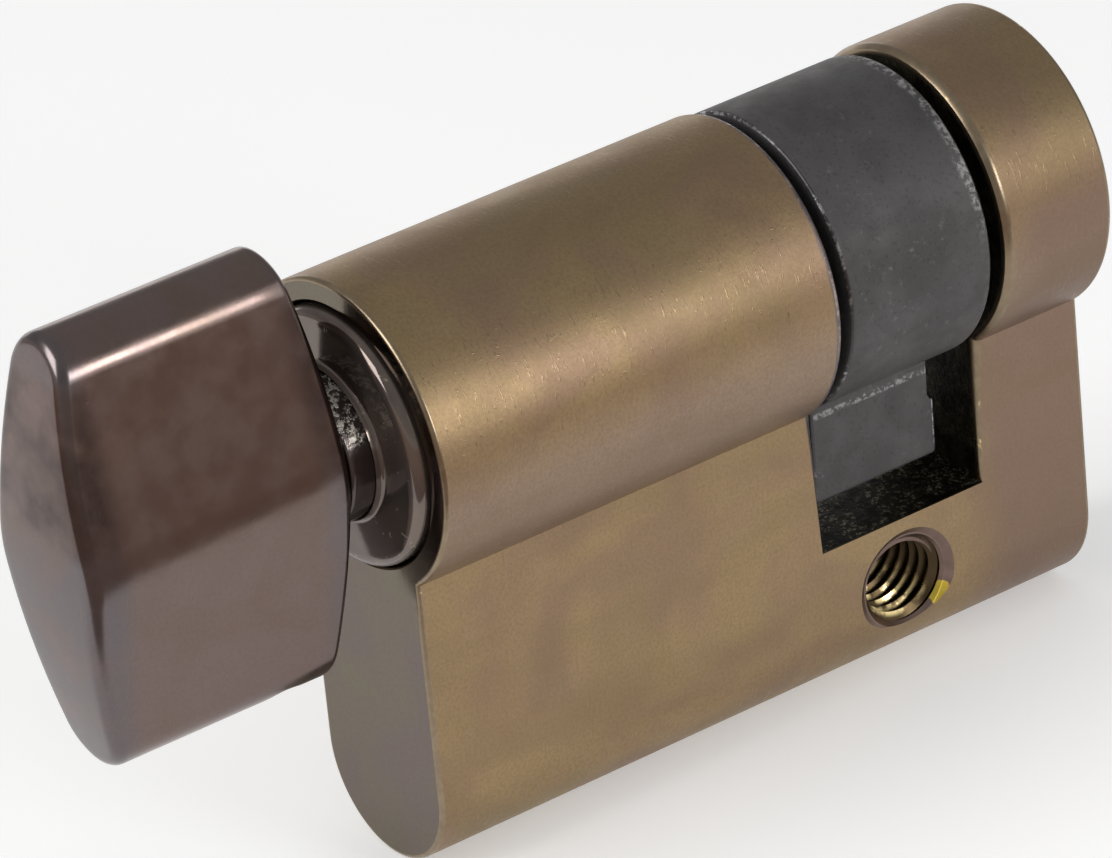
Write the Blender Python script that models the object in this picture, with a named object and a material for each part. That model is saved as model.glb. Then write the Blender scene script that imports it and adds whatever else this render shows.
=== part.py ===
"""Half euro-profile door cylinder worked by a thumb turn, as a bench assembly of separate solids.

The barrel axis is the Y axis, the thumb turn faces -Y, the leg points down (-Z) and the origin lies
on the barrel axis in the plane of the fixing-screw hole, which is also the middle of the cam slot.
Every turning piece keeps its object origin on the barrel axis.
"""
import math

import bmesh
import bpy
from mathutils import Matrix

MM = 0.001
GAP = 0.3 * MM                      # clearance kept between pieces that touch

# Profile of the body
BARREL_RADIUS = 8.45 * MM
LEG_HALF_WIDTH = 5.0 * MM
PROFILE_HEIGHT = 33.0 * MM
FRONT_Y = -30.6 * MM
REAR_Y = 12.5 * MM
END_CHAMFER = 0.25 * MM
LEG_BOTTOM_Z = BARREL_RADIUS - PROFILE_HEIGHT

# Cuts in the body
SLOT_HALF_WIDTH = 5.4 * MM
SLOT_FLOOR_Z = -15.1 * MM
SPINDLE_BORE_RADIUS = 5.6 * MM
COUNTERBORE_RADIUS = 7.15 * MM
COUNTERBORE_DEPTH = 3.2 * MM
REAR_BORE_RADIUS = 4.6 * MM
FIXING_HOLE_Z = -19.0 * MM
FIXING_HOLE_RADIUS = 2.3 * MM
FIXING_COUNTERSINK_RADIUS = 3.1 * MM
FIXING_COUNTERSINK_DEPTH = 0.7 * MM

# Retaining pins in the leg
CHAMBER_RADIUS = 1.7 * MM
CHAMBER_YS = {"front": -20.0 * MM, "rear": -12.0 * MM}
PIN_RADIUS = CHAMBER_RADIUS - GAP
PIN_LENGTH = 5.8 * MM
PLUG_LENGTH = 2.9 * MM
PLUG_BOTTOM_Z = LEG_BOTTOM_Z + 0.45 * MM
SPRING_WIRE_RADIUS = 0.2 * MM
SPRING_COIL_RADIUS = 1.15 * MM
SPRING_TURNS = 8

# Spindle
PLUG_RADIUS = 5.3 * MM              # the running diameter in the barrel bore
NECK_RADIUS = 4.1 * MM
TENON_RADIUS = 3.2 * MM
TAIL_RADIUS = 4.6 * MM
GROOVE_RADIUS = 4.2 * MM
GROOVE_HALF_WIDTH = 1.9 * MM
SEAL_GROOVE_Y = -24.9 * MM
SEAL_GROOVE_RADIUS = 4.0 * MM
SEAL_GROOVE_HALF_WIDTH = 0.8 * MM
SEAL_WIRE_RADIUS = 0.5 * MM
TONGUE_HALF_SIZE = (3.2 * MM, 1.3 * MM)
TONGUE_END_Y = 1.2 * MM

# Collar ring in the counterbore
COLLAR_RADIUS = 6.9 * MM
COLLAR_PROUD = 0.7 * MM
COLLAR_FACE_RADIUS = 6.1 * MM
COLLAR_LIP_RADIUS = 4.6 * MM
COLLAR_LIP_HEIGHT = 0.45 * MM
WASHER_THICKNESS = 0.3 * MM

# Cam
CAM_RADIUS = 8.25 * MM
CAM_FRONT_Y = -4.7 * MM
CAM_REAR_Y = 4.6 * MM
CAM_BORE_RADIUS = 5.2 * MM
CAM_RECESS_RADIUS = 6.6 * MM
CAM_RECESS_DEPTH = 1.1 * MM
CAM_EDGE_CHAMFER = 0.25 * MM
LEVER_TIP_RADIUS = 13.4 * MM
LEVER_HALF_THICKNESS = 4.2 * MM
LEVER_TIP_HALF_THICKNESS = 4.05 * MM
LEVER_FRONT_Y = -4.95 * MM
LEVER_REAR_Y = 3.3 * MM
LEVER_NOTCH_Y = 2.8 * MM
LEVER_NOTCH_Z = -9.4 * MM
CLIP_THICKNESS = 0.75 * MM
CLIP_RADIUS = 6.2 * MM
CLIP_INNER_RADIUS = 4.05 * MM
CLIP_FRONT_Y = -5.1 * MM
SHIM_START_Y = -4.1 * MM
SHIM_THICKNESS = 0.25 * MM
DOG_RADIUS = CAM_BORE_RADIUS - GAP
DOG_FRONT_Y = -3.3 * MM
DOG_REAR_Y = 4.2 * MM
KEY_HALF_WIDTH = 0.9 * MM
KEY_TOP_Z = 5.8 * MM
PILOT_RADIUS = 2.3 * MM
PILOT_FRONT_Y = 2.2 * MM
PILOT_FLANGE_FRONT_Y = 6.0 * MM
PILOT_FLANGE_REAR_Y = 10.6 * MM
BLANKING_THICKNESS = 1.3 * MM

# Knob: an upright bar, round at top and bottom, widest in the middle, with domed ends
KNOB_GAP = 2.45 * MM                # body face to the middle of the knob's rear
KNOB_DEPTH = 16.0 * MM
KNOB_HALF_HEIGHT = 11.95 * MM
KNOB_END_RADIUS = 2.5 * MM
KNOB_MIDDLE_HALF_WIDTH = 4.25 * MM
KNOB_MIDDLE_RADIUS = 7.0 * MM
KNOB_EDGE_BEVEL = 0.6 * MM
KNOB_FRONT_DOME = 11.3              # metres of fall per metre of radius squared
KNOB_REAR_DOME = 10.2
KNOB_CLOCKING = math.radians(-2.3)
SOCKET_END_Y = -45.0 * MM
GRUB_SCREW_Y = -37.2 * MM
GRUB_SCREW_RADIUS = 1.5 * MM
GRUB_SCREW_LENGTH = 7.3 * MM
HEX_KEY_RADIUS = 0.87 * MM

KNOB_REAR_Y = FRONT_Y - KNOB_GAP
KNOB_FRONT_Y = KNOB_REAR_Y - KNOB_DEPTH
COLLAR_FRONT_Y = FRONT_Y - COLLAR_PROUD
COUNTERBORE_FLOOR_Y = FRONT_Y + COUNTERBORE_DEPTH
PIN_TOP_Z = -GROOVE_RADIUS - GAP

ALONG_X = Matrix.Rotation(-math.pi / 2, 4, "Z")     # turns a lathe axis from Y to X
ALONG_Z = Matrix.Rotation(math.pi / 2, 4, "X")      # turns a lathe axis from Y to Z

COLOURS = {
    "antique_brass": ((0.25, 0.18, 0.115, 1.0), 0.38, 1.0),
    "dark_bronze": ((0.085, 0.066, 0.062, 1.0), 0.26, 1.0),
    "collar_bronze": ((0.06, 0.045, 0.038, 1.0), 0.3, 1.0),
    "bright_brass": ((0.62, 0.47, 0.22, 1.0), 0.3, 1.0),
    "plain_steel": ((0.42, 0.41, 0.40, 1.0), 0.34, 1.0),
    "spring_steel": ((0.3, 0.3, 0.31, 1.0), 0.35, 1.0),
    "black_steel": ((0.055, 0.055, 0.06, 1.0), 0.45, 1.0),
    "rubber": ((0.02, 0.02, 0.02, 1.0), 0.8, 0.0),
}


def clear_scene():
    for old in list(bpy.data.objects):
        bpy.data.objects.remove(old, do_unlink=True)


def material(name):
    """Return the named Principled material, made on first use."""
    made = bpy.data.materials.get(name)
    if made is None:
        made = bpy.data.materials.new(name)
        made.use_nodes = True
        colour, roughness, metallic = COLOURS[name]
        shader = made.node_tree.nodes["Principled BSDF"]
        shader.inputs["Base Color"].default_value = colour
        shader.inputs["Roughness"].default_value = roughness
        shader.inputs["Metallic"].default_value = metallic
        made.diffuse_color = colour
    return made


def add_object(name, bm, finish=None, location=(0, 0, 0), smooth=True):
    """Close a bmesh into a scene object with its finish."""
    bmesh.ops.recalc_face_normals(bm, faces=bm.faces)
    mesh = bpy.data.meshes.new(name)
    bm.to_mesh(mesh)
    bm.free()
    if smooth:
        mesh.shade_smooth()
        mesh.set_sharp_from_angle(angle=math.radians(35))
    part = bpy.data.objects.new(name, mesh)
    part.location = location
    bpy.context.scene.collection.objects.link(part)
    if finish:
        mesh.materials.append(material(finish))
    return part


def turned_mesh(profile, steps, matrix=None):
    """Spin a closed (y, radius) outline about the Y axis; points at radius 0 lie on the axis."""
    bm = bmesh.new()
    verts = [bm.verts.new((radius, y, 0)) for y, radius in profile]
    edges = []
    for first, second in zip(verts, verts[1:] + verts[:1]):
        if first.co.x > 0 or second.co.x > 0:
            edges.append(bm.edges.new((first, second)))
    bmesh.ops.spin(bm, geom=verts + edges, axis=(0, 1, 0), cent=(0, 0, 0),
                   angle=math.tau, steps=steps, use_merge=True)
    bmesh.ops.remove_doubles(bm, verts=bm.verts, dist=1e-7)
    if matrix:
        bmesh.ops.transform(bm, matrix=matrix, verts=bm.verts)
    return bm


def turned(name, profile, finish=None, steps=48, matrix=None, location=(0, 0, 0)):
    return add_object(name, turned_mesh(profile, steps, matrix), finish, location)


def rod_profile(start, end, radius, chamfer=0.0):
    """Outline of a plain solid rod, with an optional chamfer at each end."""
    if not chamfer:
        return [(start, 0), (start, radius), (end, radius), (end, 0)]
    return [(start, 0), (start, radius - chamfer), (start + chamfer, radius),
            (end - chamfer, radius), (end, radius - chamfer), (end, 0)]


def ring_profile(start, end, inner, outer):
    return [(start, inner), (start, outer), (end, outer), (end, inner)]


def extruded(name, outline, start, end, finish=None):
    """Extrude an (x, z) outline along Y from start to end."""
    bm = bmesh.new()
    face = bm.faces.new([bm.verts.new((x, start, z)) for x, z in outline])
    moved = bmesh.ops.extrude_face_region(bm, geom=[face])["geom"]
    moved_verts = [item for item in moved if isinstance(item, bmesh.types.BMVert)]
    bmesh.ops.translate(bm, vec=(0, end - start, 0), verts=moved_verts)
    return add_object(name, bm, finish)


def block_outline(half_width, low_z, high_z):
    return [(-half_width, low_z), (half_width, low_z), (half_width, high_z), (-half_width, high_z)]


def combine(target, other, operation="DIFFERENCE"):
    """Apply another object to the target with a Boolean and keep it as a wire guide."""
    modifier = target.modifiers.new(other.name, "BOOLEAN")
    modifier.operation = operation
    modifier.object = other
    modifier.solver = "EXACT"
    other.hide_render = True
    other.display_type = "WIRE"


def bevel(target, width, segments, limit_degrees):
    modifier = target.modifiers.new("edge", "BEVEL")
    modifier.width = width
    modifier.segments = segments
    modifier.limit_method = "ANGLE"
    modifier.angle_limit = math.radians(limit_degrees)


def arc(centre_z, radius, start_degrees, end_degrees, count):
    """Points of an arc in the XZ plane about (0, centre_z), both ends included."""
    points = []
    for step in range(count + 1):
        angle = math.radians(start_degrees + (end_degrees - start_degrees) * step / count)
        points.append((radius * math.cos(angle), centre_z + radius * math.sin(angle)))
    return points


def body_outline():
    """Round barrel above a straight leg with a half-round foot."""
    junction = math.degrees(math.acos(LEG_HALF_WIDTH / BARREL_RADIUS))
    foot = arc(LEG_BOTTOM_Z + LEG_HALF_WIDTH, LEG_HALF_WIDTH, 180, 360, 20)
    barrel = arc(0, BARREL_RADIUS, -junction, 180 + junction, 52)
    return foot + barrel


def fixing_hole_profile():
    """Screw hole across the leg, countersunk at both sides; spun about Y and turned to X."""
    past = LEG_HALF_WIDTH + 0.4 * MM
    spread = FIXING_COUNTERSINK_RADIUS - FIXING_HOLE_RADIUS
    mouth = FIXING_COUNTERSINK_RADIUS + spread * (past - LEG_HALF_WIDTH) / FIXING_COUNTERSINK_DEPTH
    throat = LEG_HALF_WIDTH - FIXING_COUNTERSINK_DEPTH
    return [(-past, 0), (-past, mouth), (-throat, FIXING_HOLE_RADIUS),
            (throat, FIXING_HOLE_RADIUS), (past, mouth), (past, 0)]


def make_body():
    body = extruded("body", body_outline(), FRONT_Y, REAR_Y, "antique_brass")
    bevel(body, END_CHAMFER, 1, 60)
    past = 1.0 * MM
    slot_outline = block_outline(BARREL_RADIUS + past, SLOT_FLOOR_Z, BARREL_RADIUS + past)
    combine(body, extruded("cut_cam_slot", slot_outline, -SLOT_HALF_WIDTH, SLOT_HALF_WIDTH))
    front_bore = [(FRONT_Y - past, 0), (FRONT_Y - past, COUNTERBORE_RADIUS),
                  (COUNTERBORE_FLOOR_Y, COUNTERBORE_RADIUS), (COUNTERBORE_FLOOR_Y, SPINDLE_BORE_RADIUS),
                  (-SLOT_HALF_WIDTH + past, SPINDLE_BORE_RADIUS), (-SLOT_HALF_WIDTH + past, 0)]
    combine(body, turned("cut_front_bore", front_bore))
    rear_bore = rod_profile(SLOT_HALF_WIDTH - past, REAR_Y + past, REAR_BORE_RADIUS)
    combine(body, turned("cut_rear_bore", rear_bore))
    combine(body, turned("cut_fixing_hole", fixing_hole_profile(), steps=32, matrix=ALONG_X,
                         location=(0, 0, FIXING_HOLE_Z)))
    chamber = rod_profile(LEG_BOTTOM_Z - past, -GROOVE_RADIUS, CHAMBER_RADIUS)
    for end, chamber_y in CHAMBER_YS.items():
        combine(body, turned("cut_chamber_" + end, chamber, steps=24, matrix=ALONG_Z,
                             location=(0, chamber_y, 0)))


def knob_dome_profile():
    """Lens that gives the knob its domed front and rear."""
    reach = math.hypot(KNOB_HALF_HEIGHT, KNOB_MIDDLE_HALF_WIDTH) + 1.0 * MM
    rings = 6
    front = []
    rear = []
    for ring in range(rings + 1):
        radius = reach * ring / rings
        front.append((KNOB_FRONT_Y + KNOB_FRONT_DOME * radius ** 2, radius))
        rear.append((KNOB_REAR_Y - KNOB_REAR_DOME * radius ** 2, radius))
    return front + rear[::-1]


def knob_outline():
    """Round ends joined to a softly rounded middle by flat flanks that touch both arcs."""
    end_centre = KNOB_HALF_HEIGHT - KNOB_END_RADIUS
    middle_centre = KNOB_MIDDLE_HALF_WIDTH - KNOB_MIDDLE_RADIUS
    spread = math.hypot(end_centre, middle_centre)
    tilt = math.asin((KNOB_MIDDLE_RADIUS - KNOB_END_RADIUS) / spread)
    lean = math.degrees(tilt - math.atan2(-middle_centre, end_centre))
    right = [(x + middle_centre, z) for x, z in arc(0, KNOB_MIDDLE_RADIUS, -lean, lean, 4)]
    top = arc(end_centre, KNOB_END_RADIUS, lean, 180 - lean, 14)
    half = right + top
    return half + [(-x, -z) for x, z in half]


def make_knob():
    """Knob and its set screw, clocked together on the spindle tenon."""
    pivot = bpy.data.objects.new("knob_clocking", None)
    pivot.rotation_euler = (0, KNOB_CLOCKING, 0)
    bpy.context.scene.collection.objects.link(pivot)
    past = 1.0 * MM
    knob = extruded("turn_knob", knob_outline(), KNOB_FRONT_Y - past, KNOB_REAR_Y + past, "dark_bronze")
    dome = turned("shape_knob_dome", knob_dome_profile(), steps=36)
    socket = turned("cut_knob_socket", rod_profile(SOCKET_END_Y, KNOB_REAR_Y + past, TENON_RADIUS + GAP))
    screw_bottom = -KNOB_HALF_HEIGHT + 1.1 * MM
    screw_hole = turned("cut_grub_screw_hole",
                        rod_profile(-KNOB_HALF_HEIGHT - past, -TENON_RADIUS, GRUB_SCREW_RADIUS + GAP),
                        steps=24, matrix=ALONG_Z, location=(0, GRUB_SCREW_Y, 0))
    combine(knob, dome, "INTERSECT")
    bevel(knob, KNOB_EDGE_BEVEL, 2, 40)
    combine(knob, socket)
    combine(knob, screw_hole)
    screw = turned("knob_grub_screw",
                   rod_profile(screw_bottom, screw_bottom + GRUB_SCREW_LENGTH, GRUB_SCREW_RADIUS, 0.3 * MM),
                   "black_steel", steps=24, matrix=ALONG_Z, location=(0, GRUB_SCREW_Y, 0))
    hex_key = turned("cut_hex_key",
                     rod_profile(screw_bottom - past, screw_bottom + 2.0 * MM, HEX_KEY_RADIUS),
                     steps=6, matrix=ALONG_Z, location=(0, GRUB_SCREW_Y, 0))
    combine(screw, hex_key)
    for piece in (knob, dome, socket, screw_hole, screw, hex_key):
        piece.parent = pivot


def spindle_profile():
    """Tenon, neck, grooved running length and clip groove, from the knob end to the cam end."""
    neck_front = KNOB_REAR_Y + GAP
    shoulder = COUNTERBORE_FLOOR_Y + 0.1 * MM
    profile = [(SOCKET_END_Y + GAP, 0), (SOCKET_END_Y + GAP, TENON_RADIUS),
               (neck_front, TENON_RADIUS), (neck_front, NECK_RADIUS),
               (shoulder, NECK_RADIUS), (shoulder, PLUG_RADIUS)]
    grooves = [(SEAL_GROOVE_Y, SEAL_GROOVE_HALF_WIDTH, SEAL_GROOVE_RADIUS)]
    grooves += [(y, GROOVE_HALF_WIDTH, GROOVE_RADIUS) for y in CHAMBER_YS.values()]
    for y, half_width, radius in grooves:
        profile += [(y - half_width, PLUG_RADIUS), (y - half_width, radius),
                    (y + half_width, radius), (y + half_width, PLUG_RADIUS)]
    plug_end = -SLOT_HALF_WIDTH - 0.2 * MM
    clip_groove = (CLIP_FRONT_Y - 0.15 * MM, CLIP_FRONT_Y + CLIP_THICKNESS + 0.15 * MM)
    groove_radius = CLIP_INNER_RADIUS - 0.25 * MM
    land_end = DOG_FRONT_Y - 0.5 * MM
    profile += [(plug_end, PLUG_RADIUS), (plug_end, TAIL_RADIUS),
                (clip_groove[0], TAIL_RADIUS), (clip_groove[0], groove_radius),
                (clip_groove[1], groove_radius), (clip_groove[1], TAIL_RADIUS),
                (land_end, TAIL_RADIUS), (land_end, 0)]
    return profile


def make_spindle():
    """Turned spindle with a flat tongue that drives the cam."""
    spindle = turned("turn_spindle", spindle_profile(), "plain_steel")
    half_width, half_height = TONGUE_HALF_SIZE
    tongue = extruded("shape_tongue", block_outline(half_width, -half_height, half_height),
                      DOG_FRONT_Y - 1.0 * MM, TONGUE_END_Y)
    combine(spindle, tongue, "UNION")
    seal_centre = SEAL_GROOVE_RADIUS + GAP + SEAL_WIRE_RADIUS
    section = [(SEAL_GROOVE_Y + SEAL_WIRE_RADIUS * math.sin(math.tau * side / 10),
                seal_centre + SEAL_WIRE_RADIUS * math.cos(math.tau * side / 10)) for side in range(10)]
    turned("friction_o_ring", section, "rubber", steps=36)


def make_collar():
    """Round-shouldered collar on the neck, and the thin thrust washer behind it."""
    bore = NECK_RADIUS + GAP
    washer_start = COUNTERBORE_FLOOR_Y - 0.25 * MM - WASHER_THICKNESS
    lip_y = COLLAR_FRONT_Y - COLLAR_LIP_HEIGHT
    shoulder = COLLAR_RADIUS - COLLAR_FACE_RADIUS
    profile = [(lip_y, bore), (lip_y, COLLAR_LIP_RADIUS),
               (COLLAR_FRONT_Y, COLLAR_LIP_RADIUS + COLLAR_LIP_HEIGHT), (COLLAR_FRONT_Y, COLLAR_FACE_RADIUS),
               (COLLAR_FRONT_Y + 0.3 * shoulder, COLLAR_FACE_RADIUS + 0.7 * shoulder),
               (COLLAR_FRONT_Y + shoulder, COLLAR_RADIUS),
               (washer_start - 0.25 * MM, COLLAR_RADIUS), (washer_start - 0.25 * MM, bore)]
    turned("collar_ring", profile, "collar_bronze", steps=56)
    washer = ring_profile(washer_start, washer_start + WASHER_THICKNESS, bore, COLLAR_RADIUS - 0.1 * MM)
    turned("thrust_washer", washer, "spring_steel", steps=36)


def make_cam():
    """Cam ring with its lever, the dog that drives it, and the clip, shim and washer beside it."""
    recess_y = CAM_FRONT_Y + CAM_RECESS_DEPTH
    ring = [(CAM_FRONT_Y, CAM_RECESS_RADIUS), (CAM_FRONT_Y, CAM_RADIUS - CAM_EDGE_CHAMFER),
            (CAM_FRONT_Y + CAM_EDGE_CHAMFER, CAM_RADIUS), (CAM_REAR_Y - CAM_EDGE_CHAMFER, CAM_RADIUS),
            (CAM_REAR_Y, CAM_RADIUS - CAM_EDGE_CHAMFER), (CAM_REAR_Y, CAM_BORE_RADIUS),
            (recess_y, CAM_BORE_RADIUS), (recess_y, CAM_RECESS_RADIUS)]
    cam = turned("cam", ring, "black_steel", steps=64)
    half_angle = math.degrees(math.asin(LEVER_TIP_HALF_THICKNESS / LEVER_TIP_RADIUS))
    tip = arc(0, LEVER_TIP_RADIUS, 270 - half_angle, 270 + half_angle, 8)
    root_z = -CAM_RECESS_RADIUS - 0.1 * MM
    lever_outline = tip + [(LEVER_HALF_THICKNESS, root_z), (-LEVER_HALF_THICKNESS, root_z)]
    lever = extruded("shape_lever", lever_outline, LEVER_FRONT_Y, LEVER_REAR_Y)
    notch = block_outline(LEVER_HALF_THICKNESS + 1.0 * MM, LEVER_NOTCH_Z, root_z + 1.0 * MM)
    combine(lever, extruded("cut_lever_notch", notch, LEVER_NOTCH_Y, LEVER_REAR_Y + 1.0 * MM))
    combine(cam, lever, "UNION")
    keyway = block_outline(KEY_HALF_WIDTH + GAP, 0, KEY_TOP_Z + GAP)
    combine(cam, extruded("cut_keyway", keyway, CAM_FRONT_Y - 1.0 * MM, CAM_REAR_Y + 1.0 * MM))

    dog = turned("cam_drive_dog", rod_profile(DOG_FRONT_Y, DOG_REAR_Y, DOG_RADIUS), "plain_steel")
    key = block_outline(KEY_HALF_WIDTH, DOG_RADIUS - 1.0 * MM, KEY_TOP_Z)
    combine(dog, extruded("shape_key", key, DOG_FRONT_Y, DOG_REAR_Y), "UNION")
    half_width, half_height = TONGUE_HALF_SIZE
    slot = block_outline(half_width + GAP, -half_height - GAP, half_height + GAP)
    combine(dog, extruded("cut_tongue_slot", slot, DOG_FRONT_Y - 1.0 * MM, TONGUE_END_Y + GAP))
    pilot_hole = rod_profile(PILOT_FRONT_Y - GAP, DOG_REAR_Y + 1.0 * MM, PILOT_RADIUS + GAP)
    combine(dog, turned("cut_pilot_hole", pilot_hole, steps=32))

    clip = turned("spindle_clip", ring_profile(CLIP_FRONT_Y, CLIP_FRONT_Y + CLIP_THICKNESS,
                                               CLIP_INNER_RADIUS, CLIP_RADIUS), "spring_steel")
    mouth = block_outline(2.6 * MM, 0, CLIP_RADIUS + 1.0 * MM)
    combine(clip, extruded("cut_clip_mouth", mouth, CLIP_FRONT_Y - 1.0 * MM, 0))
    shim = ring_profile(SHIM_START_Y, SHIM_START_Y + SHIM_THICKNESS, TAIL_RADIUS + GAP, CLIP_RADIUS)
    turned("cam_shim", shim, "spring_steel", steps=36)
    washer_start = CAM_REAR_Y + 0.22 * MM
    washer = ring_profile(washer_start, washer_start + WASHER_THICKNESS, PILOT_RADIUS + GAP, CAM_BORE_RADIUS)
    turned("cam_washer", washer, "spring_steel", steps=36)


def make_rear():
    """Fixed pilot that steadies the cam's rear, and the disc that closes the bore behind it."""
    rear_radius = REAR_BORE_RADIUS - GAP
    pilot = [(PILOT_FRONT_Y, 0), (PILOT_FRONT_Y, PILOT_RADIUS), (PILOT_FLANGE_FRONT_Y, PILOT_RADIUS),
             (PILOT_FLANGE_FRONT_Y, rear_radius), (PILOT_FLANGE_REAR_Y, rear_radius),
             (PILOT_FLANGE_REAR_Y, 0)]
    turned("rear_pilot", pilot, "plain_steel", steps=40)
    disc_start = PILOT_FLANGE_REAR_Y + GAP
    turned("rear_blanking_disc", rod_profile(disc_start, disc_start + BLANKING_THICKNESS, rear_radius,
                                             0.2 * MM), "antique_brass", steps=40)


def make_spring(name, y, low_z, high_z):
    """Compression spring along Z as one wire, swept with its own frame."""
    bm = bmesh.new()
    per_turn = 12
    sides = 6
    height = high_z - low_z - 2 * SPRING_WIRE_RADIUS
    rings = []
    for step in range(SPRING_TURNS * per_turn + 1):
        angle = math.tau * step / per_turn
        centre_z = low_z + SPRING_WIRE_RADIUS + height * step / (SPRING_TURNS * per_turn)
        ring = []
        for side in range(sides):
            turn = math.tau * side / sides
            radius = SPRING_COIL_RADIUS + SPRING_WIRE_RADIUS * math.cos(turn)
            ring.append(bm.verts.new((radius * math.cos(angle), radius * math.sin(angle),
                                      centre_z + SPRING_WIRE_RADIUS * math.sin(turn))))
        rings.append(ring)
    for lower, upper in zip(rings, rings[1:]):
        for side in range(sides):
            after = (side + 1) % sides
            bm.faces.new((lower[side], lower[after], upper[after], upper[side]))
    bm.faces.new(rings[0])
    bm.faces.new(rings[-1])
    add_object(name, bm, "spring_steel", (0, y, 0))


def make_retaining_pins():
    """Pin, spring and chamber plug in each drilling of the leg."""
    pin_bottom = PIN_TOP_Z - PIN_LENGTH
    plug_top = PLUG_BOTTOM_Z + PLUG_LENGTH
    for end, y in CHAMBER_YS.items():
        pin = rod_profile(pin_bottom, PIN_TOP_Z, PIN_RADIUS, 0.35 * MM)
        turned("retaining_pin_" + end, pin, "bright_brass", steps=24, matrix=ALONG_Z, location=(0, y, 0))
        make_spring("pin_spring_" + end, y, plug_top + GAP, pin_bottom - GAP)
        plug = rod_profile(PLUG_BOTTOM_Z, plug_top, PIN_RADIUS, 0.15 * MM)
        turned("chamber_plug_" + end, plug, "bright_brass", steps=24, matrix=ALONG_Z, location=(0, y, 0))


def main():
    clear_scene()
    make_body()
    make_knob()
    make_spindle()
    make_collar()
    make_cam()
    make_rear()
    make_retaining_pins()


main()
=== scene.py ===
"""Finished looks of a half euro-profile door cylinder with a thumb turn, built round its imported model.

The barrel axis is the Y axis, the thumb turn faces -Y and the leg points down. Metres throughout.
"""
import math

import bmesh
import bpy
from mathutils import Matrix, Vector


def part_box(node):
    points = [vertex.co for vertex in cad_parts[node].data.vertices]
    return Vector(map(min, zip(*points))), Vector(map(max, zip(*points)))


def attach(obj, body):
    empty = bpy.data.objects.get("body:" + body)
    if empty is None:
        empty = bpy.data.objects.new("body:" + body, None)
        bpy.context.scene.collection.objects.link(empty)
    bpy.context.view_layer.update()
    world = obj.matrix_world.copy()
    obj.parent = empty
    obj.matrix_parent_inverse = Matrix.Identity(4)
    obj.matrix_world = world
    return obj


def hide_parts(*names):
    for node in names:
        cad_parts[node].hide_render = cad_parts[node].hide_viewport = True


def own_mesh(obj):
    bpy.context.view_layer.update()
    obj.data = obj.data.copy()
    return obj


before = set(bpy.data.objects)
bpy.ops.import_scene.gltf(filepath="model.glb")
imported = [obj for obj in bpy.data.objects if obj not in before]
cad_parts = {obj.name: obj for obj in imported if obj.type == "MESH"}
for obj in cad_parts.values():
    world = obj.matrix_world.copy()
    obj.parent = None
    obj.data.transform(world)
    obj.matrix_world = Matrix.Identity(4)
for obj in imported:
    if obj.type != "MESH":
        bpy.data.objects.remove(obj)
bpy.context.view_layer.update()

MM = 0.001

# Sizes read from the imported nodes
BODY_LOW, BODY_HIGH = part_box("body")
CAM_LOW, CAM_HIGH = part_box("cam")
KNOB_LOW, KNOB_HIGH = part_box("turn_knob")
COLLAR_LOW, COLLAR_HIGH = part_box("collar_ring")
SPINDLE_LOW, SPINDLE_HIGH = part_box("turn_spindle")
SCREW_LOW, SCREW_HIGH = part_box("knob_grub_screw")
CLIP_LOW, CLIP_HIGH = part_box("spindle_clip")
PILOT_LOW, PILOT_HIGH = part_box("rear_pilot")
FRONT_Y = BODY_LOW.y
REAR_Y = BODY_HIGH.y
BARREL_RADIUS = BODY_HIGH.z
LEG_BOTTOM_Z = BODY_LOW.z
CAM_RADIUS = CAM_HIGH.z
LEVER_FRONT_Y = CAM_LOW.y
CAM_FRONT_Y = LEVER_FRONT_Y + 0.25 * MM
CAM_REAR_Y = CAM_HIGH.y
LEVER_TIP_RADIUS = -CAM_LOW.z
KNOB_FRONT_Y = KNOB_LOW.y
KNOB_REAR_Y = KNOB_HIGH.y
COLLAR_RADIUS = COLLAR_HIGH.z + 0.1 * MM
SCREW_RADIUS = (SCREW_HIGH.y - SCREW_LOW.y) / 2
SCREW_Y = (SCREW_LOW.y + SCREW_HIGH.y) / 2

# Details of the body
LEG_HALF_WIDTH = 5.0 * MM
SLOT_HALF_WIDTH = 5.4 * MM
SLOT_FLOOR_Z = -15.1 * MM
SPINDLE_BORE_RADIUS = 5.6 * MM
COUNTERBORE_RADIUS = 7.15 * MM
COUNTERBORE_FLOOR_Y = FRONT_Y + 3.2 * MM
REAR_BORE_RADIUS = 4.5 * MM
CHAMBER_RADIUS = 1.7 * MM
CHAMBER_YS = {"front": -20.0 * MM, "rear": -12.0 * MM}
FIXING_HOLE_Z = -19.0 * MM
THREAD_RADIUS = 2.5 * MM
THREAD_CORE_RADIUS = 2.08 * MM
THREAD_PITCH = 0.8 * MM
COUNTERSINK_RADIUS = 3.12 * MM

# Details of the knob
KNOB_HALF_HEIGHT = 11.95 * MM
KNOB_END_RADIUS = 2.5 * MM
KNOB_MIDDLE_HALF_WIDTH = 4.25 * MM
KNOB_MIDDLE_RADIUS = 7.0 * MM
KNOB_FRONT_ROUNDING = 0.76 * MM
KNOB_REAR_ROUNDING = 0.55 * MM
KNOB_FRONT_DOME = 11.3              # fall of the end face per radius squared
KNOB_REAR_DOME = 10.2
KNOB_CLOCKING = math.radians(-2.3)
NECK_RADIUS = 4.1 * MM

# Details of the cam
LEVER_HALF_THICKNESS = 4.2 * MM
LEVER_REAR_Y = 3.3 * MM
LEVER_NOTCH_Y = 2.8 * MM
LEVER_NOTCH_Z = -9.4 * MM
CAM_BORE_RADIUS = 5.2 * MM
CAM_RECESS_RADIUS = 6.6 * MM

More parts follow.
